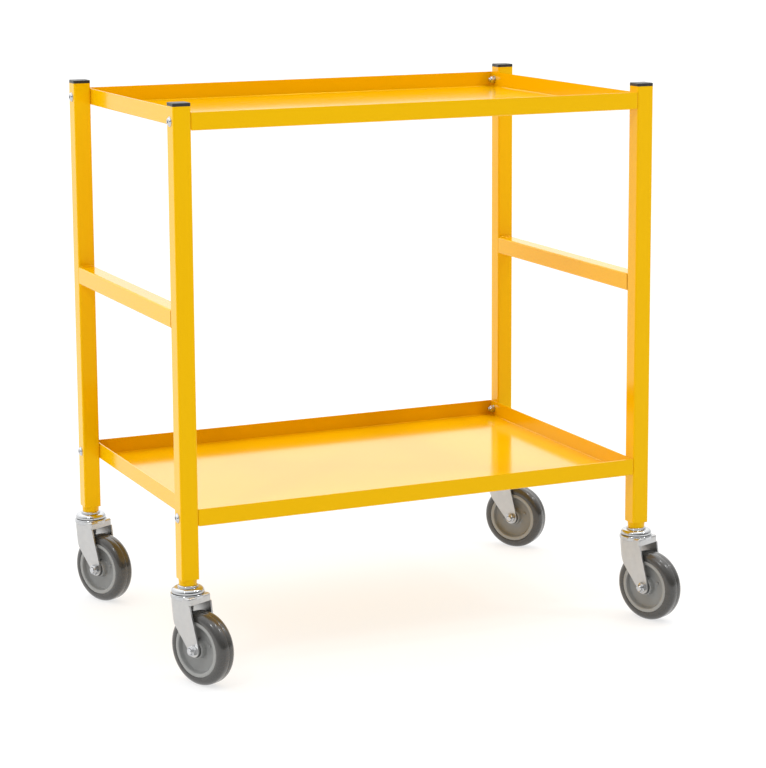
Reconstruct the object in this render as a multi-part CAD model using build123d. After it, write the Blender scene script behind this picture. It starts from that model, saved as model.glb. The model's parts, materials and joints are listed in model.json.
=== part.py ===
from build123d import *
import math
import os

# A two-shelf tray trolley on four swivel castors, in millimetres.
# +X runs to the right along the long side, -Y to the front and +Z up. The origin is on the floor,
# below the middle of the whole trolley's box. The castors trail to one side, so the post frame's own
# centre stands a little off it.
FRAME_X = -15.0
FRAME_Y = 24.0

# Post frame: square tube, outer face to outer face.
OVERALL_LENGTH = 715.0
OVERALL_DEPTH = 455.0
TUBE = 25.0
TUBE_WALL = 1.5
TUBE_CORNER = 2.5
POST_BOTTOM = 141.0
POST_LENGTH = 632.0
POST_TOP = POST_BOTTOM + POST_LENGTH
POST_X = (OVERALL_LENGTH - TUBE) / 2
POST_Y = (OVERALL_DEPTH - TUBE) / 2

# Cross rails: the same tube, one at each end, between the front and the rear post. Each stops a little
# short of its front post, and the welds bridge that.
RAIL_CENTRE_Z = POST_BOTTOM + 350.5
RAIL_SPAN = OVERALL_DEPTH - 2 * TUBE
RAIL_FRONT_GAP = 1.0
RAIL_LENGTH = RAIL_SPAN - RAIL_FRONT_GAP
WELD_LEG = 3.0
WELD_LENGTH = TUBE - 2 * TUBE_CORNER

# Shelves: folded trays with a lip all round, between the left posts and the right posts.
SHELF_LENGTH = OVERALL_LENGTH - 2 * TUBE
SHELF_SHEET = 1.5
SHELF_BEND = 2.5
SHELF_CORNER = 2.0
LIP_HEIGHT = 24.0
UPPER_LIP_TOP = POST_TOP - 8.0
LOWER_LIP_TOP = POST_BOTTOM + 96.0

# Shelf fasteners: M6 flanged button-head screws, washers and nyloc nuts.
BOLT_RADIUS = 3.0
BOLT_HOLE_RADIUS = 3.2
BOLT_FLANGE_RADIUS = 6.8
BOLT_FLANGE = 1.1
BOLT_HEAD_RADIUS = 5.4
BOLT_HEAD = 3.3
SOCKET_FLATS = 4.0
SOCKET_DEPTH = 2.0
WASHER_RADIUS = 6.0
WASHER_THICKNESS = 1.6
NUT_FLATS = 10.0
NUT_HEX_HEIGHT = 4.2
NUT_HEIGHT = 6.0
NUT_COLLAR_RADIUS = 4.6
BOLT_PAST_NUT = 2.5

# Post end caps: a square head on a hollow plug.
CAP_HEAD = 4.5
CAP_EDGE = 1.2
CAP_PLUG = 14.0
CAP_PLUG_WALL = 2.0
PLUG_PLAY = 0.05
TUBE_BORE = TUBE - 2 * TUBE_WALL

# Castors, with their heights from the floor.
WHEEL_RADIUS = 50.0
TRAIL = 26.0
RACEWAY_CAP_TOP = 133.0
RACEWAY_CAP_BOTTOM = 123.2
RACEWAY_CAP_RADIUS = 22.2
RACEWAY_CAP_MIDDLE = 14.0
RACE_RING_TOP = 122.2
RACE_RING_RADIUS = 22.2
RACE_SKIRT_BOTTOM = 115.5
RACE_SKIRT_EDGE = 1.2
BALL_RADIUS = 2.5
BALL_CIRCLE = 14.0
BALL_HEIGHT = 123.2
BALL_COUNT = 14
KING_BOLT_RADIUS = 6.0
KING_HEAD_FLATS = 16.0
KING_HEAD_BOTTOM = 110.5
KING_HEAD_TOP = 117.9
KING_BOLT_TOP = 177.0
RUNNING_PLAY = 0.05
INSERT_TOP = 181.0
COLLAR_TOP_RADIUS = 12.5
COLLAR_BOTTOM_RADIUS = 12.0

# Castor fork: one pressing of sheet, with a crown, a rear hood and two legs that draw in below it.
FORK_SHEET = 2.5
FORK_TOP = 121.0
FORK_HALF_WIDTH = 21.0
FORK_FRONT_RADIUS = 22.5
FORK_REAR = -23.0
CROWN_BEND = 3.2
HOOD_CORNER = 4.0
HOOD_BOTTOM = 110.5
LEG_DRAW = 3.4
LEG_DRAW_END = 62.0
LEG_HALF_WIDTH = FORK_HALF_WIDTH - LEG_DRAW
LEG_GAP = 2 * (LEG_HALF_WIDTH - FORK_SHEET)
LEG_END_RADIUS = 9.5
LEG_FRONT_TOP = 106.0
LEG_FRONT_MIDDLE = (7.8, 80.0)

# Castor wheel: tyre on a dished core with a hub, on a sleeve that the fork clamps.
TYRE_WIDTH = 27.5
TYRE_SHOULDER = 9.0
CORE_RADIUS = 38.0
RIM_WIDTH = 27.0
RIM_EDGE = 0.8
RIM_LIP_RADIUS = 33.5
DISH_RADIUS = 31.0
DISH_MIDDLE_RADIUS = 22.0
DISH_WIDTH = 12.5
WEB_WIDTH = 8.0
HUB_RADIUS = 12.5
HUB_LENGTH = 27.2
BUSH_RADIUS = 8.5
BUSH_FLANGE_RADIUS = 10.5
BUSH_FLANGE = 1.0
BUSH_LENGTH = 10.0
SLEEVE_RADIUS = 6.0
AXLE_RADIUS = 4.0
AXLE_HOLE_RADIUS = 4.15
AXLE_FLATS = 13.0
AXLE_HEAD = 5.3
AXLE_NUT_HEX = 5.2
AXLE_NUT_HEIGHT = 7.0
AXLE_NUT_COLLAR_RADIUS = 5.8
AXLE_PAST_NUT = 1.5

# Corners of the post frame: name, side (-1 left, +1 right), end (-1 front, +1 rear), and how far the
# castor is turned from trailing straight to the front, in degrees.
CORNERS = [
    ("front_left", -1, -1, 25.0),
    ("front_right", 1, -1, 22.0),
    ("rear_left", -1, 1, 26.0),
    ("rear_right", 1, 1, 37.0),
]

# A cylinder or prism drawn along Z is laid along X by this turn.
ALONG_X = Rot(0, 90, 0)
UP = (Align.CENTER, Align.CENTER, Align.MIN)


def place(shape, x, y, z=0.0):
    """Move a shape from the post frame's own centre to its place in the part."""
    return Pos(FRAME_X + x, FRAME_Y + y, z) * shape


def save(shape, node):
    export_step(shape, f"parts/{node}.step")


def drum(radius, low, high):
    """A cylinder about Z between two heights."""
    return Pos(0, 0, low) * Cylinder(radius, high - low, align=UP)


def hex_prism(flats, low, high):
    """A hexagonal prism about Z between two heights."""
    corner_radius = flats / math.sqrt(3)
    return Pos(0, 0, low) * extrude(RegularPolygon(corner_radius, 6), high - low)


def bevelled_hex(flats, low, high, bevel_low, bevel_high):
    """A hexagonal prism about Z whose corners are turned down at one or both ends."""
    corner_radius = flats / math.sqrt(3)
    turned = drum(corner_radius, low, high)
    rims = turned.edges().filter_by(GeomType.CIRCLE)
    depth = corner_radius - flats / 2
    if bevel_low:
        turned = chamfer(rims.sort_by(Axis.Z)[0], depth * 0.6, depth)
    if bevel_high:
        rims = turned.edges().filter_by(GeomType.CIRCLE)
        turned = chamfer(rims.sort_by(Axis.Z)[-1], depth * 0.6, depth)
    return hex_prism(flats, low, high) & turned


def square_tube(length):
    """Square tube along Z, standing on Z = 0."""
    outer = RectangleRounded(TUBE, TUBE, TUBE_CORNER)
    bore = RectangleRounded(TUBE_BORE, TUBE_BORE, TUBE_CORNER - TUBE_WALL)
    return extrude(outer - bore, length)


def shelf_bolt_heights():
    return [UPPER_LIP_TOP - LIP_HEIGHT / 2, LOWER_LIP_TOP - LIP_HEIGHT / 2]


# ---------------------------------------------------------------- posts, rails and welds


def post():
    """A post in its place above the floor, about its own axis, drilled along X for the shelf bolts."""
    body = Pos(0, 0, POST_BOTTOM) * square_tube(POST_LENGTH)
    for height in shelf_bolt_heights():
        body -= Pos(0, 0, height) * ALONG_X * Cylinder(BOLT_HOLE_RADIUS, 2 * TUBE)
    return body


def post_cap():
    """A moulded cap: square head with softened edges and a hollow plug inside the tube."""
    head = extrude(RectangleRounded(TUBE, TUBE, TUBE_CORNER), CAP_HEAD)
    head = fillet(head.faces().sort_by(Axis.Z)[-1].edges(), CAP_EDGE)
    plug_width = TUBE_BORE - 2 * PLUG_PLAY
    plug_outline = RectangleRounded(plug_width, plug_width, TUBE_CORNER - TUBE_WALL)
    plug = Pos(0, 0, -CAP_PLUG) * extrude(plug_outline, CAP_PLUG)
    hollow_width = plug_width - 2 * CAP_PLUG_WALL
    hollow = Pos(0, 0, -CAP_PLUG) * Box(hollow_width, hollow_width, CAP_PLUG, align=UP)
    return Pos(0, 0, POST_TOP) * (head + plug - hollow)


def cross_rail():
    """A rail along Y, from the rear post's face towards the front post, at its height."""
    return Pos(0, RAIL_SPAN / 2, RAIL_CENTRE_Z) * Rot(90, 0, 0) * square_tube(RAIL_LENGTH)


def weld_bead(end, face):
    """A fillet weld where the rail's upper or lower face meets a post: end and face are -1 or +1."""
    toe_y = end * RAIL_SPAN / 2
    toe_z = RAIL_CENTRE_Z + face * TUBE / 2
    section = Polyline(
        (toe_y, toe_z),
        (toe_y - end * WELD_LEG, toe_z),
        (toe_y, toe_z + face * WELD_LEG),
        close=True,
    )
    return extrude(make_face(Plane.YZ * section), WELD_LENGTH / 2, both=True)


def make_frame():
    for name, side, end, _ in CORNERS:
        save(place(post(), side * POST_X, end * POST_Y), f"{name}_post")
        save(place(post_cap(), side * POST_X, end * POST_Y), f"{name}_post_cap")
    save(place(cross_rail(), -POST_X, 0), "left_cross_rail")
    save(place(cross_rail(), POST_X, 0), "right_cross_rail")
    beads = []
    for side in (-1, 1):
        for end in (-1, 1):
            for face in (-1, 1):
                beads.append(place(weld_bead(end, face), side * POST_X, 0))
    save(Compound(children=beads), "rail_welds")


# ---------------------------------------------------------------- shelves and their fasteners


def shelf(lip_top):
    """A tray of folded sheet: floor below, lip all round, closed corners, drilled for its bolts."""
    floor_bottom = lip_top - LIP_HEIGHT
    outside = Box(SHELF_LENGTH, OVERALL_DEPTH, LIP_HEIGHT, align=UP)
    outside = fillet(outside.edges().filter_by(Axis.Z), SHELF_CORNER)
    outside = fillet(outside.faces().sort_by(Axis.Z)[0].edges(), SHELF_BEND)
    inside_length = SHELF_LENGTH - 2 * SHELF_SHEET
    inside_depth = OVERALL_DEPTH - 2 * SHELF_SHEET
    inside = Pos(0, 0, SHELF_SHEET) * Box(inside_length, inside_depth, LIP_HEIGHT, align=UP)
    inside = fillet(inside.edges().filter_by(Axis.Z), SHELF_CORNER - SHELF_SHEET)
    inside = fillet(inside.faces().sort_by(Axis.Z)[0].edges(), SHELF_BEND - SHELF_SHEET)
    tray = outside - inside
    for end in (-1, 1):
        hole = ALONG_X * Cylinder(BOLT_HOLE_RADIUS, 2 * SHELF_LENGTH)
        tray -= Pos(0, end * POST_Y, LIP_HEIGHT / 2) * hole
    return Pos(0, 0, floor_bottom) * tray


def shelf_bolt():
    """Along Z: the head sits above Z = 0, the shank goes down through post, lip, washer and nut."""
    head = drum(BOLT_FLANGE_RADIUS, 0, BOLT_FLANGE)
    head = chamfer(head.edges().filter_by(GeomType.CIRCLE).sort_by(Axis.Z)[-1], 0.4)
    button = drum(BOLT_HEAD_RADIUS, BOLT_FLANGE, BOLT_HEAD)
    button = fillet(button.edges().filter_by(GeomType.CIRCLE).sort_by(Axis.Z)[-1], 1.9)
    grip = TUBE + SHELF_SHEET + WASHER_THICKNESS + NUT_HEIGHT
    shank = drum(BOLT_RADIUS, -grip - BOLT_PAST_NUT, 0)
    shank = chamfer(shank.edges().filter_by(GeomType.CIRCLE).sort_by(Axis.Z)[0], 0.6)
    return head + button + shank - hex_prism(SOCKET_FLATS, BOLT_HEAD - SOCKET_DEPTH, BOLT_HEAD)


def shelf_washer():
    top = -TUBE - SHELF_SHEET
    ring = drum(WASHER_RADIUS, top - WASHER_THICKNESS, top)
    return ring - drum(BOLT_HOLE_RADIUS, top - WASHER_THICKNESS, top)


def nyloc_nut(flats, hex_height, height, collar_radius, bore_radius):
    """A nut hanging below Z = 0: hexagon first, then the round collar that holds the nylon ring."""
    nut = bevelled_hex(flats, -hex_height, 0, True, True)
    collar = drum(collar_radius, -height, -hex_height + 0.5)
    collar = fillet(collar.edges().filter_by(GeomType.CIRCLE).sort_by(Axis.Z)[0], 1.0)
    return nut + collar - drum(bore_radius, -height, 0)


def shelf_nut():
    seat = -TUBE - SHELF_SHEET - WASHER_THICKNESS
    nut = nyloc_nut(NUT_FLATS, NUT_HEX_HEIGHT, NUT_HEIGHT, NUT_COLLAR_RADIUS, BOLT_RADIUS)
    return Pos(0, 0, seat) * nut


def at_each_shelf_bolt(shape):
    """Copies of a shape drawn along Z, turned to enter each post from its outer face."""
    copies = []
    for _, side, end, _ in CORNERS:
        turn = Rot(0, side * 90, 0)
        for height in shelf_bolt_heights():
            copies.append(place(turn * shape, side * OVERALL_LENGTH / 2, end * POST_Y, height))
    return Compound(children=copies)


def make_shelves():
    save(place(shelf(UPPER_LIP_TOP), 0, 0), "upper_shelf")
    save(place(shelf(LOWER_LIP_TOP), 0, 0), "lower_shelf")
    save(at_each_shelf_bolt(shelf_bolt()), "shelf_bolts")
    save(at_each_shelf_bolt(shelf_washer()), "shelf_washers")
    save(at_each_shelf_bolt(shelf_nut()), "shelf_nuts")


# ---------------------------------------------------------------- castors, about their swivel axis


def foot_insert():
    """A square plug in the post's lower end, with a round tapered collar that the castor meets."""
    width = TUBE_BORE - 2 * PLUG_PLAY
    plug_outline = RectangleRounded(width, width, TUBE_CORNER - TUBE_WALL)
    plug = Pos(0, 0, POST_BOTTOM) * extrude(plug_outline, INSERT_TOP - POST_BOTTOM)
    height = POST_BOTTOM - RACEWAY_CAP_TOP
    collar = Cone(COLLAR_BOTTOM_RADIUS, COLLAR_TOP_RADIUS, height, align=UP)
    collar = Pos(0, 0, RACEWAY_CAP_TOP) * collar
    bore = drum(KING_BOLT_RADIUS + PLUG_PLAY, RACEWAY_CAP_TOP, INSERT_TOP)
    return plug + collar - bore


def king_bolt():
    """The pin that the fork turns on: its head is inside the fork, its shank ends in the insert."""
    head = bevelled_hex(KING_HEAD_FLATS, KING_HEAD_BOTTOM, KING_HEAD_TOP, True, False)
    shank = drum(KING_BOLT_RADIUS, KING_HEAD_TOP, KING_BOLT_TOP)
    return head + chamfer(shank.edges().filter_by(GeomType.CIRCLE).sort_by(Axis.Z)[-1], 1.2)


def race_groove(clearance):
    """The ring that the balls run in, with some clearance round them."""
    return Pos(0, 0, BALL_HEIGHT) * Torus(BALL_CIRCLE, BALL_RADIUS + clearance)


def raceway_cap():
    """The domed upper race: a pressed cup with a rounded shoulder and a raised middle."""
    shoulder_top = RACEWAY_CAP_TOP - 3.0
    cup = drum(RACEWAY_CAP_RADIUS, RACEWAY_CAP_BOTTOM, shoulder_top)
    cup = fillet(cup.edges().filter_by(GeomType.CIRCLE).sort_by(Axis.Z)[-1], 5.5)
    middle = drum(RACEWAY_CAP_MIDDLE, shoulder_top - 1.0, RACEWAY_CAP_TOP)
    middle = fillet(middle.edges().filter_by(GeomType.CIRCLE).sort_by(Axis.Z)[-1], 1.6)
    bore = drum(KING_BOLT_RADIUS + PLUG_PLAY, RACEWAY_CAP_BOTTOM, RACEWAY_CAP_TOP)
    return cup + middle - bore - race_groove(0.35)


def swivel_balls():
    balls = []
    for number in range(BALL_COUNT):
        turn = Rot(0, 0, 360 * number / BALL_COUNT)
        balls.append(turn * Pos(BALL_CIRCLE, 0, BALL_HEIGHT) * Sphere(BALL_RADIUS))
    return Compound(children=balls)


def crown_plan(inset, rear, height):
    """The fork's outline from above, at a height: round in front, straight sides, square behind."""
    half = FORK_HALF_WIDTH - inset
    radius = FORK_FRONT_RADIUS - inset
    shoulder = math.sqrt(radius**2 - half**2)
    sides = Polyline((half, shoulder), (half, rear), (-half, rear), (-half, shoulder))
    front = ThreePointArc((-half, shoulder), (0, radius), (half, shoulder))
    return Pos(0, 0, height) * make_face(sides + front)


def leg_block(inset, rear):
    """The legs' outer or inner form: parallel round the axle, then widening up to the crown."""
    foot_bottom = WHEEL_RADIUS - LEG_END_RADIUS - 1
    narrow = LEG_DRAW + inset
    foot = extrude(crown_plan(narrow, rear, foot_bottom), LEG_DRAW_END - foot_bottom)
    draw_low = crown_plan(narrow, rear, LEG_DRAW_END)
    draw_high = crown_plan(inset, rear, HOOD_BOTTOM)
    return foot + loft([draw_low, draw_high], ruled=True)


def crown_block(inset):
    """The crown's outer or inner form: a rounded top edge and rounded rear corners."""
    plan = crown_plan(inset, FORK_REAR + inset, HOOD_BOTTOM)
    block = extrude(plan, FORK_TOP - inset - HOOD_BOTTOM)
    rear_corners = block.edges().filter_by(Axis.Z).sort_by(Axis.Y)[:2]
    block = fillet(rear_corners, HOOD_CORNER - inset)
    return fillet(block.faces().sort_by(Axis.Z)[-1].edges(), CROWN_BEND - inset)


def fork_side():
    """The fork from the side, in Y and Z: crown above, leg narrowing to a round end at the axle."""
    axle = (-TRAIL, WHEEL_RADIUS)
    trailing = (FORK_REAR, HOOD_BOTTOM)
    rear_slope = math.atan2(trailing[1] - axle[1], trailing[0] - axle[0])
    reach = math.dist(axle, trailing)
    rear_turn = rear_slope + math.acos(LEG_END_RADIUS / reach)
    front_turn = math.radians(-12)
    low_turn = math.radians(-95)

    def on_end(turn):
        y = axle[0] + LEG_END_RADIUS * math.cos(turn)
        z = axle[1] + LEG_END_RADIUS * math.sin(turn)
        return (y, z)

    beyond_front = FORK_FRONT_RADIUS + 1
    leading = ThreePointArc((beyond_front, LEG_FRONT_TOP), LEG_FRONT_MIDDLE, on_end(front_turn))
    end = ThreePointArc(on_end(front_turn), on_end(low_turn), on_end(rear_turn))
    upper = Polyline(
        on_end(rear_turn),
        trailing,
        (FORK_REAR - 1, HOOD_BOTTOM),
        (FORK_REAR - 1, FORK_TOP + 1),
        (beyond_front, FORK_TOP + 1),
        (beyond_front, LEG_FRONT_TOP),
    )
    outline = make_face(Plane.YZ * (leading + end + upper))
    return extrude(outline, FORK_HALF_WIDTH + 2, both=True)


def fork():
    """One pressing: hollow crown, hood and legs, with the lower race cup fixed over the crown."""
    leg_rear = -TRAIL - LEG_END_RADIUS - 2
    legs = leg_block(0, leg_rear) - leg_block(FORK_SHEET, 2 * leg_rear)
    crown = crown_block(0) - crown_block(FORK_SHEET)
    pressing = (legs + crown) & fork_side()
    ring = drum(RACE_RING_RADIUS, RACE_SKIRT_BOTTOM, RACE_RING_TOP)
    ring = fillet(ring.edges().filter_by(GeomType.CIRCLE).sort_by(Axis.Z)[0], RACE_SKIRT_EDGE)
    ring -= drum(RACE_RING_RADIUS - FORK_SHEET, RACE_SKIRT_BOTTOM, FORK_TOP - FORK_SHEET)
    pivot_hole = drum(KING_BOLT_RADIUS + RUNNING_PLAY, KING_HEAD_TOP, RACE_RING_TOP)
    axle_hole = about_axle(Cylinder(AXLE_HOLE_RADIUS, 2 * LEG_GAP))
    return pressing + ring - pivot_hole - race_groove(0.1) - axle_hole


def about_axle(shape):
    """A shape drawn about Z is laid along X at the axle."""
    return Pos(0, -TRAIL, WHEEL_RADIUS) * ALONG_X * shape


def axle_sleeve():
    return about_axle(Cylinder(SLEEVE_RADIUS, LEG_GAP) - Cylinder(AXLE_HOLE_RADIUS, LEG_GAP))


def axle_bolt():
    """Hex head on the right leg's outer face, thread end past the nut on the left."""
    head_top = LEG_HALF_WIDTH + AXLE_HEAD
    head = bevelled_hex(AXLE_FLATS, LEG_HALF_WIDTH, head_top, False, True)
    tip = -LEG_HALF_WIDTH - AXLE_NUT_HEIGHT - AXLE_PAST_NUT
    shank = drum(AXLE_RADIUS, tip, LEG_HALF_WIDTH)
    shank = chamfer(shank.edges().filter_by(GeomType.CIRCLE).sort_by(Axis.Z)[0], 0.8)
    return about_axle(head + shank)


def axle_nut():
    nut = nyloc_nut(AXLE_FLATS, AXLE_NUT_HEX, AXLE_NUT_HEIGHT, AXLE_NUT_COLLAR_RADIUS, AXLE_RADIUS)
    return about_axle(Pos(0, 0, -LEG_HALF_WIDTH) * nut)


def tyre():
    """A band with rounded shoulders, bonded to the core's rim."""
    band = Cylinder(WHEEL_RADIUS, TYRE_WIDTH)
    band = fillet(band.edges().filter_by(GeomType.CIRCLE), TYRE_SHOULDER)
    return about_axle(band - Cylinder(CORE_RADIUS, TYRE_WIDTH))


def wheel_core():
    """Turned form, the same on both faces: rim lip, sloping wall, dished web and hub."""
    face = RIM_WIDTH / 2
    hub_face = HUB_LENGTH / 2
    web = (HUB_RADIUS + 1.5, WEB_WIDTH / 2)
    dish_edge = (DISH_RADIUS, DISH_WIDTH / 2)
    hub_side = Polyline(
        (BUSH_RADIUS, 0),
        (BUSH_RADIUS, hub_face),
        (HUB_RADIUS - RIM_EDGE, hub_face),
        (HUB_RADIUS, hub_face - RIM_EDGE),
        web,
    )
    dish = ThreePointArc(web, (DISH_MIDDLE_RADIUS, WEB_WIDTH / 2 + 0.6), dish_edge)
    rim_side = Polyline(
        dish_edge,
        (RIM_LIP_RADIUS - RIM_EDGE, face - RIM_EDGE),
        (RIM_LIP_RADIUS, face),
        (CORE_RADIUS - RIM_EDGE, face),
        (CORE_RADIUS, face - RIM_EDGE),
        (CORE_RADIUS, 0),
        (BUSH_RADIUS, 0),
    )
    half = revolve(make_face(Plane.XZ * (hub_side + dish + rim_side)), Axis.Z)
    return about_axle(half + mirror(half, Plane.XY))


def wheel_bearings():
    """Two flanged bushes, one from each side, that turn on the sleeve with a running fit."""
    hub_face = HUB_LENGTH / 2
    bush = drum(BUSH_RADIUS, hub_face - BUSH_LENGTH, hub_face)
    bush += drum(BUSH_FLANGE_RADIUS, hub_face, hub_face + BUSH_FLANGE)
    bush -= drum(SLEEVE_RADIUS + RUNNING_PLAY, hub_face - BUSH_LENGTH, hub_face + BUSH_FLANGE)
    return Compound(children=[about_axle(bush), about_axle(Rot(180, 0, 0) * bush)])


def make_castors():
    pieces = {
        "foot_insert": foot_insert(),
        "king_bolt": king_bolt(),
        "raceway_cap": raceway_cap(),
        "swivel_balls": swivel_balls(),
        "fork": fork(),
        "axle_sleeve": axle_sleeve(),
        "axle_bolt": axle_bolt(),
        "axle_nut": axle_nut(),
        "tyre": tyre(),
        "wheel_core": wheel_core(),
        "wheel_bearings": wheel_bearings(),
    }
    straight = ("foot_insert", "king_bolt")
    for name, side, end, angle in CORNERS:
        for piece, shape in pieces.items():
            turn = Rot(0, 0, 0 if piece in straight else angle)
            save(place(turn * shape, side * POST_X, end * POST_Y), f"{name}_{piece}")
        turn = math.radians(angle)
        axle_x = FRAME_X + side * POST_X + TRAIL * math.sin(turn)
        axle_y = FRAME_Y + end * POST_Y - TRAIL * math.cos(turn)
        print(name, "axle at", round(axle_x, 4), round(axle_y, 4), WHEEL_RADIUS)


os.makedirs("parts", exist_ok=True)
make_frame()
make_shelves()
make_castors()
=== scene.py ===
import json
import math
import random

import bmesh
import bpy
from mathutils import Matrix, Vector


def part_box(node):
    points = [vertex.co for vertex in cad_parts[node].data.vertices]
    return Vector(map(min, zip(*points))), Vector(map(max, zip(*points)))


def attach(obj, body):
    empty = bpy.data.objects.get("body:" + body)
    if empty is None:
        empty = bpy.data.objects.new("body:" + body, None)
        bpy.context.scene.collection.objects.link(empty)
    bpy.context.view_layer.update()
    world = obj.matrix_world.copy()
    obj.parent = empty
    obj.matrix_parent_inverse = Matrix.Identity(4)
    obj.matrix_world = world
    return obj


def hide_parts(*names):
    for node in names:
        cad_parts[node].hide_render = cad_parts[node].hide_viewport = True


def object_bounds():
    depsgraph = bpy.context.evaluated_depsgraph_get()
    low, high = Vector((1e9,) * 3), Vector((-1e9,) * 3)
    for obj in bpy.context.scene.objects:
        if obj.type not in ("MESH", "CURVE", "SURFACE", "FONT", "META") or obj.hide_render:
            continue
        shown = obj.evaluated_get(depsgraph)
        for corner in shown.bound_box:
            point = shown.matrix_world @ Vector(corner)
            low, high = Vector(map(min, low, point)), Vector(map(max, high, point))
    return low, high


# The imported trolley: a frame of square posts, two folded trays and four swivel castors. The frame
# is in metres, so sizes in millimetres are multiplied by MM.
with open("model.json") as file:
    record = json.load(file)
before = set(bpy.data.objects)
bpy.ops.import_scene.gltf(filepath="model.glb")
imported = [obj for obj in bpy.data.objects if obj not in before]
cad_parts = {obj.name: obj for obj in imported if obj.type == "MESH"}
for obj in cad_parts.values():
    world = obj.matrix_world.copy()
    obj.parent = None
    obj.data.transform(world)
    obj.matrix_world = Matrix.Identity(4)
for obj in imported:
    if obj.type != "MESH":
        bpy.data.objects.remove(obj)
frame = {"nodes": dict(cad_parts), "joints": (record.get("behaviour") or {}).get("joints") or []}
cad_low, cad_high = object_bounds()
MM = 0.001
swivels = [joint for joint in frame["joints"] if joint["name"].endswith("_swivel_turn")]
corners = [swivel["name"].removesuffix("_swivel_turn") for swivel in swivels]


# Posts and cross rails: 25 mm square steel tube with a 1.5 mm wall, drilled, welded and then coated
# in one bath of high-gloss yellow powder. The coat flows out smooth, with a trace of orange peel.
class Wire:
    """A shader socket that takes part in Python sums: each operator adds one Math node."""

    def __init__(self, finish, socket):
        self.finish = finish
        self.socket = socket

    def work_out(self, operation, first, second):
        return self.finish.node("ShaderNodeMath", {"operation": operation}, {0: first, 1: second})

    def __add__(self, other):
        return self.work_out("ADD", self, other)

    def __sub__(self, other):
        return self.work_out("SUBTRACT", self, other)

    def __rsub__(self, other):
        return self.work_out("SUBTRACT", other, self)

    def __mul__(self, other):
        return self.work_out("MULTIPLY", self, other)

    def __gt__(self, other):
        return self.work_out("GREATER_THAN", self, other)

    __radd__ = __add__
    __rmul__ = __mul__


class Finish:
    """The nodes of one surface, or of the studio's sky."""

    def __init__(self, owner):
        self.owner = owner
        owner.use_nodes = True
        self.tree = owner.node_tree
        self.tree.nodes.clear()

    def node(self, kind, settings=None, inputs=None, output=0):
        """Add a node, set it, link or fill its sockets, and give back one of its outputs."""
        made = self.tree.nodes.new(kind)
        for name, value in (settings or {}).items():
            setattr(made, name, value)
        for name, value in (inputs or {}).items():
            if isinstance(value, Wire):
                self.tree.links.new(value.socket, made.inputs[name])
            else:
                made.inputs[name].default_value = value
        return Wire(self, made.outputs[output]) if made.outputs else None

    def place(self):
        """Where a point lies in its own piece, in metres."""
        return self.node("ShaderNodeTexCoord", output="Object")

    def clouds(self, scale, detail=2.0, place=None):
        """Smooth noise from 0 to 1, with its features about 1 / scale metres apart."""
        inputs = {"Vector": place or self.place(), "Scale": scale, "Detail": detail}
        return self.node("ShaderNodeTexNoise", None, inputs)

    def blend(self, share, first, second):
        """From the first colour to the second, as the share goes from 0 to 1."""
        inputs = {0: share, 6: first, 7: second}
        return self.node("ShaderNodeMix", {"data_type": "RGBA"}, inputs, output=2)

    def relief(self, height, depth, strength=1.0):
        """Bump from a height of 0 to 1 that stands for a depth in metres."""
        inputs = {"Strength": strength, "Distance": depth, "Height": height}
        return self.node("ShaderNodeBump", None, inputs)

    def surface(self, inputs):
        shader = self.node("ShaderNodeBsdfPrincipled", None, inputs)
        self.node("ShaderNodeOutputMaterial", None, {"Surface": shader})
        return self.owner


def new_finish(name):
    return Finish(bpy.data.materials.new(name))


def dress(nodes, material):
    """Give CAD nodes a material."""
    for name in nodes:
        slots = frame["nodes"][name].data.materials
        slots.clear()
        slots.append(material)


powder = new_finish("yellow_powder_coat")
pooling = powder.clouds(7.0, 3.0)
peel = powder.clouds(310.0, 1.0)
dust = powder.clouds(2400.0, 2.0)
powder_coat = powder.surface(
    {
        "Base Color": powder.blend(pooling, (0.920, 0.518, 0.0006, 1), (0.900, 0.500, 0.0005, 1)),
        "Roughness": 0.09 + 0.05 * pooling + 0.03 * dust,
        "IOR": 1.75,
        "Specular Tint": (1.0, 0.66, 0.05, 1),
        "Normal": powder.relief(peel, 0.05 * MM, 0.35),
    }
)
posts = [f"{corner}_post" for corner in corners]
rails = ["left_cross_rail", "right_cross_rail"]
dress(posts + rails, powder_coat)


# Rail welds: a bead above and below each rail end, laid in overlapping pools about 1.7 mm
# apart, and coated together with the tube. Each bead is swept along the joint with its own ripples.
WELD_LEG = 2.9 * MM
WELD_LENGTH = 21.0 * MM
POOL_PITCH = 1.7 * MM
WELD_STATIONS = 96
WELD_ARC = 9


def skin(form, rings, closed=False):
    """Join rings of points with faces, in a bmesh. A ring of one point closes an end."""
    rows = [[form.verts.new(point) for point in ring] for ring in rings]
    for low, high in zip(rows, rows[1:] + (rows[:1] if closed else [])):
        count = max(len(low), len(high))
        for near in range(count):
            far = (near + 1) % count
            below = [low[near % len(low)], low[far % len(low)]]
            above = [high[far % len(high)], high[near % len(high)]]
            form.faces.new(list(dict.fromkeys(below + above)))


def add_piece(name, form, material, body, replaced, place=None, crease=32):
    """Turn a bmesh into a piece that rides on a body and stands for CAD nodes."""
    bmesh.ops.recalc_face_normals(form, faces=form.faces)
    mesh = bpy.data.meshes.new(name)
    form.to_mesh(mesh)
    form.free()
    mesh.polygons.foreach_set("use_smooth", [True] * len(mesh.polygons))
    mesh.set_sharp_from_angle(angle=math.radians(crease))
    mesh.materials.append(material)
    piece = bpy.data.objects.new(name, mesh)
    bpy.context.scene.collection.objects.link(piece)
    if place:
        piece.matrix_world = place
    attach(piece, body)
    if replaced:
        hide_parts(*replaced)
    return piece


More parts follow.
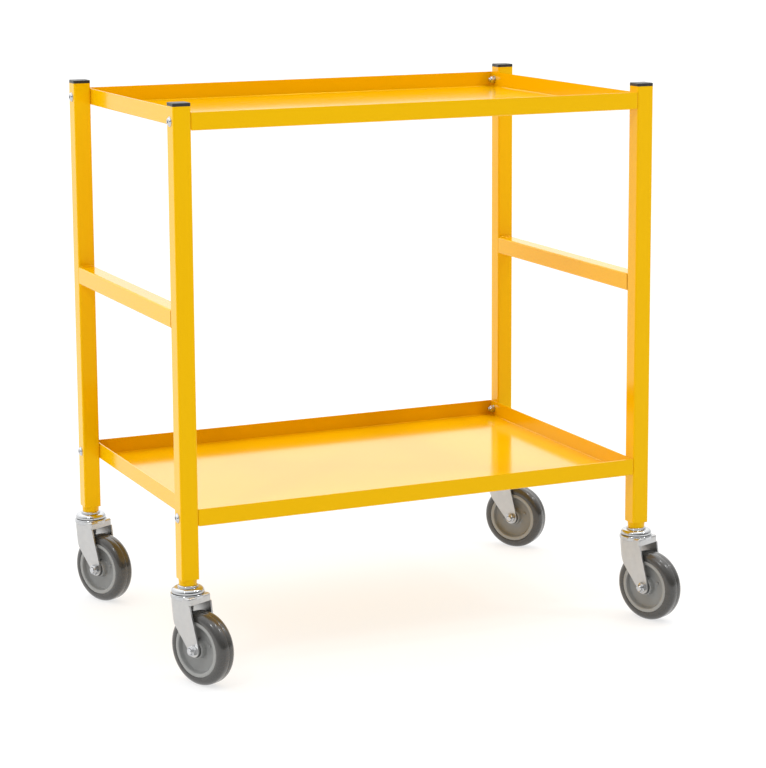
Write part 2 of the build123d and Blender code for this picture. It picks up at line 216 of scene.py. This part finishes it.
def weld_rings(toe, along_post, along_rail, draw):
    """Rings of one bead, from end to end along X. The toe is where the rail meets the post."""
    rings = []
    phase = draw.random()
    for station in range(WELD_STATIONS + 1):
        x = WELD_LENGTH * (station / WELD_STATIONS - 0.5)
        pool = (x / POOL_PITCH + phase) % 1.0
        ripple = 1.0 - 0.13 * pool**2
        ending = min(1.0, 4.2 * (0.5 - abs(station / WELD_STATIONS - 0.5)) + 0.12)
        leg = WELD_LEG * ripple * math.sqrt(ending)
        ring = [toe + Vector((x, 0, 0)) - 0.15 * leg * (along_post + along_rail)]
        for step in range(WELD_ARC + 1):
            turn = math.pi / 2 * step / WELD_ARC
            reach = leg * (0.74 + 0.26 * abs(math.cos(2 * turn)))
            bow = 0.6 * POOL_PITCH * (math.sin(2 * turn) - 0.5)
            offset = reach * (math.cos(turn) * along_post + math.sin(turn) * along_rail)
            ring.append(toe + Vector((x + bow, 0, 0)) + offset)
        rings.append(ring)
    ends = [[toe + Vector((x, 0, 0))] for x in (-WELD_LENGTH / 2, WELD_LENGTH / 2)]
    return [ends[0]] + rings + [ends[1]]


draw = random.Random(7)
beads = bmesh.new()
for rail in rails:
    low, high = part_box(rail)
    side = rail.split("_")[0]
    middle_x = (low.x + high.x) / 2
    front_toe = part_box(f"front_{side}_post")[1].y
    for toe_y, inward in ((front_toe, 1), (high.y, -1)):
        for toe_z, outward in ((high.z, 1), (low.z, -1)):
            toe = Vector((middle_x, toe_y, toe_z))
            skin(beads, weld_rings(toe, Vector((0, 0, outward)), Vector((0, inward, 0)), draw))
add_piece("rail_weld_beads", beads, powder_coat, "frame", ["rail_welds"])


# Trays: 1.5 mm sheet steel folded up to a 24 mm lip all round, with closed corners, in the same
# powder coat.
trays = ["upper_shelf", "lower_shelf"]
dress(trays, powder_coat)


# Post end caps: black polyethylene, a square head on a plug that is pressed into the tube. The
# mould leaves a fine spark-eroded grain and a slight sheen.
cap_plastic = new_finish("cap_plastic")
cap_tone = cap_plastic.clouds(160.0, 3.0)
cap_grain = cap_plastic.clouds(3200.0, 2.0)
black_plastic = cap_plastic.surface(
    {
        "Base Color": cap_plastic.blend(cap_tone, (0.012, 0.012, 0.012, 1), (0.022, 0.021, 0.020, 1)),
        "Roughness": 0.34 + 0.12 * cap_grain,
        "Normal": cap_plastic.relief(cap_grain, 0.03 * MM, 0.5),
    }
)
dress([f"{corner}_post_cap" for corner in corners], black_plastic)


# Shelf screws: M6 flanged button heads with a hexagon socket, in bright zinc, one through each post
# at each tray. The thread shows past the nut, inside the lip.
SEGMENTS = 48
SCREW_RADIUS = 3.0 * MM
SCREW_PITCH = 1.0 * MM
SCREW_HEAD = 3.3 * MM
SOCKET_FLATS = 4.0 * MM
SOCKET_DEPTH = 2.0 * MM
SCREW_LENGTH = 36.6 * MM
THREAD_START = -30.0 * MM
LIP_HEIGHT = 24.0 * MM


def ring(reach, height, count=SEGMENTS):
    """Points round Z at a height. The reach is a radius, or a function that gives it at an angle."""
    points = []
    for step in range(count):
        angle = math.tau * step / count
        radius = reach(angle) if callable(reach) else reach
        points.append(Vector((radius * math.cos(angle), radius * math.sin(angle), height)))
    return points


def turned(profile, count=SEGMENTS):
    """Rings for a profile of radius and height, in millimetres. Radius 0 is a point on the axis."""
    rings = []
    for radius, height in profile:
        rings.append(ring(radius * MM, height * MM, count if radius else 1))
    return rings


def hexagon(flats, limit=1.0):
    """The reach of a hexagon, turned down to a limit where its corners are bevelled."""

    def reach(angle):
        off_flat = (angle + math.pi / 6) % (math.pi / 3) - math.pi / 6
        return min(flats / 2 / math.cos(off_flat), limit)

    return reach


def threaded(radius, pitch, start, end):
    """Rings of a cut thread from one height down to another, with a bevelled tip."""
    rings = []
    depth = 0.56 * pitch
    steps = math.ceil((start - end) / pitch * 8)
    for step in range(steps + 1):
        height = start + (end - start) * step / steps
        run_in = min(1.0, (start - height) / pitch)
        tip_limit = radius - max(0.0, end + 0.6 * depth - height) - 0.2 * depth

        def reach(angle, height=height, run_in=run_in, tip_limit=tip_limit):
            turn = (height / pitch - angle / math.tau) % 1.0
            crest = min(1.0, 1.25 * abs(2 * turn - 1))
            return min(radius - depth * run_in * (1 - crest), tip_limit if run_in == 1 else radius)

        rings.append(ring(reach, height))
    root = radius - depth
    return rings + [ring(0.96 * root, end - 0.25 * depth), [Vector((0, 0, end - 0.3 * depth))]]


def add_shells(form, shells, place):
    """Add shells to a bmesh, each of them moved to its place."""
    for rings in shells:
        skin(form, [[place @ point for point in points] for points in rings])


zinc = new_finish("zinc_plate")
zinc_tone = zinc.clouds(900.0, 3.0)
zinc_grain = zinc.clouds(5200.0, 2.0)
zinc_plate = zinc.surface(
    {
        "Base Color": zinc.blend(zinc_tone, (0.66, 0.67, 0.68, 1), (0.50, 0.51, 0.53, 1)),
        "Metallic": 1.0,
        "Roughness": 0.17 + 0.14 * zinc_tone,
        "Normal": zinc.relief(zinc_grain, 0.012 * MM, 0.4),
    }
)
socket_floor = SCREW_HEAD - SOCKET_DEPTH
screw_head = [
    [Vector((0, 0, socket_floor - 0.5 * MM))],
    ring(1.2 * MM, socket_floor - 0.1 * MM),
    ring(hexagon(SOCKET_FLATS), socket_floor),
    ring(hexagon(SOCKET_FLATS), SCREW_HEAD - 0.25 * MM),
    ring(hexagon(SOCKET_FLATS + 0.45 * MM), SCREW_HEAD),
]
button = [
    (3.1, 3.3),
    (3.6, 3.28),
    (4.1, 3.12),
    (4.6, 2.82),
    (5.0, 2.42),
    (5.25, 2.0),
    (5.38, 1.5),
    (5.5, 1.2),
]
flange = [
    (5.8, 1.12),
    (6.4, 1.0),
    (6.7, 0.8),
    (6.8, 0.5),
    (6.78, 0.15),
    (6.6, 0.0),
    (3.05, 0.0),
    (3.0, -0.2),
]
screw_thread = threaded(SCREW_RADIUS, SCREW_PITCH, THREAD_START, -SCREW_LENGTH + 0.2 * MM)
screw_shells = [screw_head + turned(button + flange) + screw_thread]
screw_places = []
for corner in corners:
    low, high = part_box(f"{corner}_post")
    side = 1 if "right" in corner else -1
    face_x = high.x if side > 0 else low.x
    for tray in trays:
        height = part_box(tray)[1].z - LIP_HEIGHT / 2
        spot = Matrix.Translation((face_x, (low.y + high.y) / 2, height))
        own_turn = Matrix.Rotation(draw.uniform(0, math.pi / 3), 4, "Z")
        screw_places.append(spot @ Matrix.Rotation(side * math.pi / 2, 4, "Y") @ own_turn)
screws = bmesh.new()
for place in screw_places:
    add_shells(screws, screw_shells, place)
add_piece("shelf_screws", screws, zinc_plate, "frame", ["shelf_bolts"])


# Washers and lock nuts on the shelf screws, inside the lips: stamped washers, and zinc plated nyloc
# nuts whose collar is rolled over a nylon ring that grips the thread.
WASHER_TOP = -26.5
WASHER_THICKNESS = 1.6
washer_profile = [
    (3.25, WASHER_TOP),
    (5.75, WASHER_TOP),
    (5.98, WASHER_TOP - 0.3),
    (5.98, WASHER_TOP - 1.3),
    (5.9, WASHER_TOP - 1.58),
    (3.4, WASHER_TOP - 1.58),
    (3.25, WASHER_TOP - 1.4),
]
washers = bmesh.new()
for place in screw_places:
    rings = [[place @ point for point in points] for points in turned(washer_profile)]
    skin(washers, rings, closed=True)
add_piece("stamped_washers", washers, zinc_plate, "frame", ["shelf_washers"])


def lock_nut(flats, hex_height, height, collar, bore):
    """Shells of a nut that hangs below Z = 0: bevelled hexagon, rolled collar and nylon ring."""
    corner_reach = flats / math.sqrt(3)
    bevel = (corner_reach - flats / 2) * 0.62
    rings = [ring(bore, 0), ring(0.94 * flats / 2, 0)]
    for step in range(5):
        share = step / 4
        limit = 0.97 * flats / 2 + (corner_reach - 0.97 * flats / 2) * share
        rings.append(ring(hexagon(flats, limit), -bevel * share))
    for step in range(5):
        share = 1 - step / 4
        limit = 0.97 * flats / 2 + (corner_reach - 0.97 * flats / 2) * share
        rings.append(ring(hexagon(flats, limit), -hex_height + bevel * share))
    rim = height - hex_height
    rings.append(ring(collar + 0.1 * rim, -hex_height))
    rings.append(ring(collar, -hex_height - 0.15 * rim))
    for step in range(6):
        turn = math.pi / 2 * step / 5
        roll_in = 0.5 * rim * (1 - math.cos(turn))
        roll_down = 0.5 * rim * (1 - math.sin(turn))
        rings.append(ring(collar - roll_in, -height + roll_down))
    rings.append(ring(collar - 0.72 * rim, -height + 0.12 * rim))
    rings.append(ring(collar - 0.72 * rim, -height + 0.5 * rim))
    metal = rings + [ring(bore, -height + 0.5 * rim)]
    lip = collar - 0.74 * rim
    nylon = [
        ring(lip, -height + 0.48 * rim),
        ring(lip, -height + 0.30 * rim),
        ring(lip - 0.12 * rim, -height + 0.2 * rim),
        ring(bore + 0.1 * rim, -height + 0.2 * rim),
        ring(bore * 0.985, -height + 0.32 * rim),
        ring(bore * 0.985, -height + 0.48 * rim),
    ]
    return metal, nylon


ring_plastic = new_finish("moulded_nylon")
nylon_tone = ring_plastic.clouds(700.0, 2.0)
nylon_grain = ring_plastic.clouds(4200.0, 2.0)
black_nylon = ring_plastic.surface(
    {
        "Base Color": ring_plastic.blend(nylon_tone, (0.045, 0.045, 0.048, 1), (0.065, 0.065, 0.066, 1)),
        "Roughness": 0.36 + 0.14 * nylon_tone,
        "Normal": ring_plastic.relief(nylon_grain, 0.015 * MM, 0.5),
    }
)
nut_metal, nut_nylon = lock_nut(10.0 * MM, 4.2 * MM, 6.0 * MM, 4.6 * MM, 2.98 * MM)
nut_seat = Matrix.Translation((0, 0, (WASHER_TOP - WASHER_THICKNESS) * MM))
nuts = bmesh.new()
nylon_rings = bmesh.new()
for place in screw_places:
    spun = place @ nut_seat @ Matrix.Rotation(draw.uniform(0, math.pi / 3), 4, "Z")
    skin(nuts, [[spun @ point for point in points] for points in nut_metal], closed=True)
    skin(nylon_rings, [[spun @ point for point in points] for points in nut_nylon], closed=True)
add_piece("shelf_lock_nuts", nuts, zinc_plate, "frame", ["shelf_nuts"], crease=28)
add_piece("shelf_nut_nylon_rings", nylon_rings, black_nylon, "frame", [])


# Castor tops: a coated insert in each post's foot, the king bolt that runs up into it, and the
# domed upper race, which is pressed, polished and zinc plated. Steel balls run below it.
def soften(nodes, width, steps=2):
    """Round the hard edges of CAD nodes, as a modifier, without touching their meshes."""
    for name in nodes:
        node = frame["nodes"][name]
        join = node.modifiers.new("join", "WELD")
        join.merge_threshold = 0.002 * MM
        edge = node.modifiers.new("edge", "BEVEL")
        edge.width = width
        edge.segments = steps
        edge.limit_method = "ANGLE"
        edge.angle_limit = math.radians(40)
        edge.miter_outer = "MITER_ARC"
        flow = node.modifiers.new("flow", "WEIGHTED_NORMAL")
        flow.weight = 80


polished = new_finish("polished_zinc")
race_tone = polished.clouds(260.0, 2.0)
polished_zinc = polished.surface(
    {
        "Base Color": polished.blend(race_tone, (0.60, 0.61, 0.62, 1), (0.46, 0.47, 0.48, 1)),
        "Metallic": 1.0,
        "Roughness": 0.07 + 0.06 * race_tone,
        "Normal": polished.relief(polished.clouds(700.0, 1.0), 0.02 * MM, 0.35),
    }
)
for corner in corners:
    dress([f"{corner}_foot_insert"], powder_coat)
    dress([f"{corner}_king_bolt"], zinc_plate)
    dress([f"{corner}_raceway_cap", f"{corner}_swivel_balls"], polished_zinc)
    soften([f"{corner}_raceway_cap"], 0.25 * MM)


# Forks: one pressing of 2.5 mm sheet for crown, rear hood and both legs, barrel zinc plated to a
# satin grey. The press leaves faint draw lines down the legs, and the cut edges are tumbled round.
satin = new_finish("satin_zinc")
stretch = {"Vector": satin.place(), "Scale": (1.0, 1.0, 0.06)}
drawn_out = satin.node("ShaderNodeMapping", None, stretch)
lines = satin.clouds(1500.0, 2.0, drawn_out)
plating = satin.clouds(120.0, 4.0)
satin_zinc = satin.surface(
    {
        "Base Color": satin.blend(plating, (0.60, 0.60, 0.59, 1), (0.50, 0.50, 0.50, 1)),
        "Metallic": 1.0,
        "Roughness": 0.28 + 0.08 * lines + 0.06 * plating,
        "Normal": satin.relief(lines, 0.01 * MM, 0.4),
    }
)
forks = [f"{corner}_fork" for corner in corners]
dress(forks, satin_zinc)
soften(forks, 0.4 * MM)


# Lower race rings: a bright turned ring pressed over each fork's race cup. It turns with the fork
# just below the upper race, and stands a little proud of the legs.
race_ring_profile = [
    (22.0, 115.6),
    (22.9, 115.4),
    (23.5, 115.9),
    (23.7, 116.8),
    (23.7, 120.4),
    (23.5, 121.3),
    (22.9, 121.95),
    (22.0, 122.1),
]
for corner, swivel in zip(corners, swivels):
    pivot = swivel["pos_m"]
    race_ring = bmesh.new()
    skin(race_ring, turned(race_ring_profile, 96), closed=True)
    add_piece(
        f"{corner}_lower_race_ring",
        race_ring,
        polished_zinc,
        f"{corner}_swivel",
        [],
        Matrix.Translation((pivot[0], pivot[1], 0)),
    )


# Wheel cores: grey moulded plastic, with a flat rim face, a dished web and a hub for the bushes.
# The rim face is painted a paler grey, a painted highlight for the extra light its flat face catches,
# and two small pads stand on each web.
WHEEL_SEGMENTS = 128
RIM_LIP_RADIUS = 33.5 * MM
core_plastic = new_finish("core_plastic")
across_axle = {0: core_plastic.place(), 1: (1.0, 1.0, 0.0)}
flat_place = core_plastic.node("ShaderNodeVectorMath", {"operation": "MULTIPLY"}, across_axle)
length = {"operation": "LENGTH"}
radius = core_plastic.node("ShaderNodeVectorMath", length, {0: flat_place}, output="Value")
# Painted highlight: beyond the rim lip's radius the core gets a paler grey, standing in for the light
# the flat rim face catches.
rim_highlight_mask = radius > RIM_LIP_RADIUS - 0.4 * MM
core_flow = core_plastic.clouds(90.0, 3.0)
core_grain = core_plastic.clouds(3000.0, 2.0)
moulded_grey = core_plastic.blend(core_flow, (0.265, 0.268, 0.262, 1), (0.300, 0.304, 0.297, 1))
grey_plastic = core_plastic.surface(
    {
        "Base Color": core_plastic.blend(rim_highlight_mask, moulded_grey, (0.335, 0.338, 0.325, 1)),
        "Roughness": 0.36 + 0.12 * core_grain,
        "Normal": core_plastic.relief(core_grain, 0.025 * MM, 0.4),
    }
)
core_half = [
    (8.5, 13.55),
    (11.6, 13.55),
    (12.1, 13.45),
    (12.4, 13.1),
    (12.55, 12.4),
    (12.75, 6.6),
    (13.1, 5.2),
    (14.0, 4.35),
    (16.0, 4.12),
    (19.0, 4.25),
    (22.0, 4.6),
    (25.0, 4.95),
    (28.0, 5.45),
    (30.0, 5.95),
    (30.9, 6.5),
    (31.4, 7.6),
    (31.8, 9.6),
    (32.3, 12.0),
    (32.7, 13.0),
    (33.4, 13.46),
    (37.2, 13.46),
    (37.8, 13.2),
    (38.0, 12.7),
]
pad_profile = [(2.5, 3.9), (2.45, 5.2), (2.2, 5.6), (1.7, 5.75), (0, 5.8)]
PAD_CIRCLE = 18.6 * MM
PAD_TURN = 0.35
axle_joints = {joint["name"]: joint for joint in frame["joints"]}


def axle_place(corner):
    """The wheel's own axes: Z along the axle to the bolt head's side, and Y up."""
    joint = axle_joints[f"{corner}_wheel_spin"]
    along_axle = Vector(joint["axis"]).to_track_quat("Z", "Y")
    return Matrix.Translation(joint["pos_m"]) @ along_axle.to_matrix().to_4x4()


for corner in corners:
    core = bmesh.new()
    whole = core_half + [(r, -z) for r, z in reversed(core_half)]
    skin(core, turned(whole, WHEEL_SEGMENTS), closed=True)
    for face in (0, math.pi):
        for angle in (0, math.pi):
            turn = Matrix.Rotation(face, 4, "X") @ Matrix.Rotation(angle + PAD_TURN, 4, "Z")
            spot = turn @ Matrix.Translation((PAD_CIRCLE, 0, 0))
            add_shells(core, [turned(pad_profile, 24)], spot)
    add_piece(
        f"{corner}_dished_core",
        core,
        grey_plastic,
        f"{corner}_wheel",
        [f"{corner}_wheel_core"],
        axle_place(corner),
        crease=40,
    )
    dress([f"{corner}_wheel_bearings"], black_nylon)
    soften([f"{corner}_wheel_bearings"], 0.2 * MM)


# Tyres: dark grey elastic rubber moulded round the core, glossy from the mould, with wide rounded
# shoulders, a fine parting line round the tread and a small lip where it ends on the core.
TYRE_RADIUS = 50.0
TYRE_HALF_WIDTH = 13.75
SHOULDER = 9.0
tyre_rubber = new_finish("tyre_rubber")
tyre_flow = tyre_rubber.clouds(60.0, 3.0)
tyre_grain = tyre_rubber.clouds(2600.0, 2.0)
dark_rubber = tyre_rubber.surface(
    {
        "Base Color": tyre_rubber.blend(tyre_flow, (0.042, 0.041, 0.038, 1), (0.054, 0.052, 0.048, 1)),
        "Roughness": 0.20 + 0.10 * tyre_flow + 0.05 * tyre_grain,
        "Coat Weight": 0.6,
        "Coat Roughness": 0.04,
        "Normal": tyre_rubber.relief(tyre_grain, 0.02 * MM, 0.3),
    }
)
tyre_half = [(38.02, 12.9), (38.1, 13.5), (38.5, 13.72)]
for step in range(15):
    turn = math.pi / 2 * step / 14
    tyre_half.append(
        (
            TYRE_RADIUS - SHOULDER + SHOULDER * math.sin(turn),
            TYRE_HALF_WIDTH - SHOULDER + SHOULDER * math.cos(turn),
        )
    )
tyre_half += [(49.99, 2.4), (49.99, 0.35), (49.86, 0.12)]
for corner in corners:
    tyre = bmesh.new()
    whole = tyre_half + [(r, -z) for r, z in reversed(tyre_half)]
    skin(tyre, turned(whole, WHEEL_SEGMENTS), closed=True)
    add_piece(
        f"{corner}_moulded_tyre",
        tyre,
        dark_rubber,
        f"{corner}_wheel",
        [f"{corner}_tyre"],
        axle_place(corner),
        crease=50,
    )


# Axles: an M8 hexagon bolt through both legs and the sleeve that the wheel turns on, and a lock nut
# on the other leg with a turn of thread past it. All zinc plated.
LEG_HALF_WIDTH = 17.6
AXLE_RADIUS = 4.0
AXLE_PITCH = 1.25 * MM
AXLE_TIP = -26.1
AXLE_FLATS = 13.0
HEAD_FACE = LEG_HALF_WIDTH + 5.3
head_corner = AXLE_FLATS / math.sqrt(3)
head_bevel = 0.6 * (head_corner - AXLE_FLATS / 2)
hexagon_head = [[Vector((0, 0, (HEAD_FACE - 0.25) * MM))], ring(3.6 * MM, (HEAD_FACE - 0.25) * MM)]
hexagon_head += [ring(3.9 * MM, HEAD_FACE * MM), ring(0.93 * AXLE_FLATS / 2 * MM, HEAD_FACE * MM)]
for step in range(6):
    limit = 0.96 * AXLE_FLATS / 2 + (head_corner - 0.96 * AXLE_FLATS / 2) * step / 5
    height = HEAD_FACE - head_bevel * step / 5
    hexagon_head.append(ring(hexagon(AXLE_FLATS * MM, limit * MM), height * MM))
hexagon_head += [
    ring(hexagon(AXLE_FLATS * MM), (LEG_HALF_WIDTH + 0.55) * MM),
    ring(hexagon(AXLE_FLATS * MM - 0.3 * MM), (LEG_HALF_WIDTH + 0.4) * MM),
    ring(6.0 * MM, (LEG_HALF_WIDTH + 0.38) * MM),
    ring(5.9 * MM, (LEG_HALF_WIDTH + 0.02) * MM),
    ring(AXLE_RADIUS * MM, (LEG_HALF_WIDTH + 0.02) * MM),
]
axle_thread = threaded(AXLE_RADIUS * MM, AXLE_PITCH, -16.0 * MM, AXLE_TIP * MM + 0.3 * MM)
axle_nut_metal, axle_nut_nylon = lock_nut(13.0 * MM, 5.2 * MM, 7.0 * MM, 5.8 * MM, 3.98 * MM)
nut_place = Matrix.Translation((0, 0, -LEG_HALF_WIDTH * MM))
for corner in corners:
    place = axle_place(corner)
    bolt = bmesh.new()
    own_turn = Matrix.Rotation(draw.uniform(0, math.pi / 3), 4, "Z")
    add_shells(bolt, [hexagon_head + axle_thread], own_turn)
    add_piece(
        f"{corner}_axle_screw",
        bolt,
        zinc_plate,
        f"{corner}_swivel",
        [f"{corner}_axle_bolt"],
        place,
        crease=28,
    )
    spun = nut_place @ Matrix.Rotation(draw.uniform(0, math.pi / 3), 4, "Z")
    nut = bmesh.new()
    skin(nut, [[spun @ point for point in points] for points in axle_nut_metal], closed=True)
    add_piece(
        f"{corner}_axle_lock_nut",
        nut,
        zinc_plate,
        f"{corner}_swivel",
        [f"{corner}_axle_nut"],
        place,
        crease=28,
    )
    grip = bmesh.new()
    skin(grip, [[spun @ point for point in points] for points in axle_nut_nylon], closed=True)
    add_piece(
        f"{corner}_axle_nylon_ring",
        grip,
        black_nylon,
        f"{corner}_swivel",
        [],
        place,
    )
    dress([f"{corner}_axle_sleeve"], zinc_plate)


# The studio: a plain white floor under an even white sky that is dimmer towards the front, and
# three soft boxes overhead. The camera stands to the front and left, a little above the trolley.
white = new_finish("white_floor")
white_floor = white.surface(
    {
        "Base Color": (0.32, 0.32, 0.32, 1),
        "Roughness": 0.9,
        "Specular IOR Level": 0.0,
        "Emission Color": (1, 1, 1, 1),
        "Emission Strength": 0.70,
    }
)
FLOOR_HALF = 40.0
floor_mesh = bpy.data.meshes.new("studio_floor")
floor_corners = [(-1, -1, 0), (1, -1, 0), (1, 1, 0), (-1, 1, 0)]
floor_mesh.from_pydata([FLOOR_HALF * Vector(spot) for spot in floor_corners], [], [(0, 1, 2, 3)])
floor_mesh.materials.append(white_floor)
floor = bpy.data.objects.new("studio_floor", floor_mesh)
bpy.context.scene.collection.objects.link(floor)

sky = Finish(bpy.data.worlds.new("studio_sky"))
bpy.context.scene.world = sky.owner
towards = sky.node("ShaderNodeTexCoord", output="Generated")
east = sky.node("ShaderNodeSeparateXYZ", None, {0: towards}, output="X")
north = sky.node("ShaderNodeSeparateXYZ", None, {0: towards}, output="Y")
up = sky.node("ShaderNodeSeparateXYZ", None, {0: towards}, output="Z")
glow = 0.44 + 1.30 * up + 0.76 * north - 0.06 * east
glow = sky.node("ShaderNodeMath", {"operation": "MAXIMUM"}, {0: glow, 1: 0.04})
background = sky.node("ShaderNodeBackground", None, {"Color": (1, 1, 1, 1), "Strength": glow})
sky.node("ShaderNodeOutputWorld", None, {"Surface": background})

middle = (cad_low + cad_high) / 2
soft_boxes = [
    ((-1.7, -1.2, 2.2), 0.22, 7.0),
    ((1.7, -1.0, 2.2), 0.20, 7.0),
    ((0.9, -0.6, 2.7), 0.20, 6.0),
]
for number, (spot, size, power) in enumerate(soft_boxes):
    light = bpy.data.lights.new(f"soft_box_{number}", "AREA")
    light.shape = "RECTANGLE"
    light.size = size
    light.size_y = 1.6 * size
    light.energy = power
    box = bpy.data.objects.new(f"soft_box_{number}", light)
    bpy.context.scene.collection.objects.link(box)
    box.location = spot
    box.rotation_euler = (middle - Vector(spot)).to_track_quat("-Z", "Y").to_euler()

camera_data = bpy.data.cameras.new("camera")
camera_data.sensor_width = 36.0
camera_data.lens = 112.64
camera_data.shift_y = -0.1198
camera_data.clip_end = 200.0
camera = bpy.data.objects.new("camera", camera_data)
bpy.context.scene.collection.objects.link(camera)
CAMERA_SPOT = (-1.396, -3.1317, 1.0444)
YAW = math.radians(24.249)
PITCH = math.radians(9.45)
ROLL = math.radians(-0.324)
aim = Vector((math.sin(YAW) * math.cos(PITCH), math.cos(YAW) * math.cos(PITCH), -math.sin(PITCH)))
level_right = Vector((math.cos(YAW), -math.sin(YAW), 0))
level_up = level_right.cross(aim)
right = math.cos(ROLL) * level_right + math.sin(ROLL) * level_up
upward = math.cos(ROLL) * level_up - math.sin(ROLL) * level_right
facing = Matrix((right, upward, -aim)).transposed().to_4x4()
camera.matrix_world = Matrix.Translation(CAMERA_SPOT) @ facing
bpy.context.scene.camera = camera
bpy.context.scene.view_settings.view_transform = "Standard"
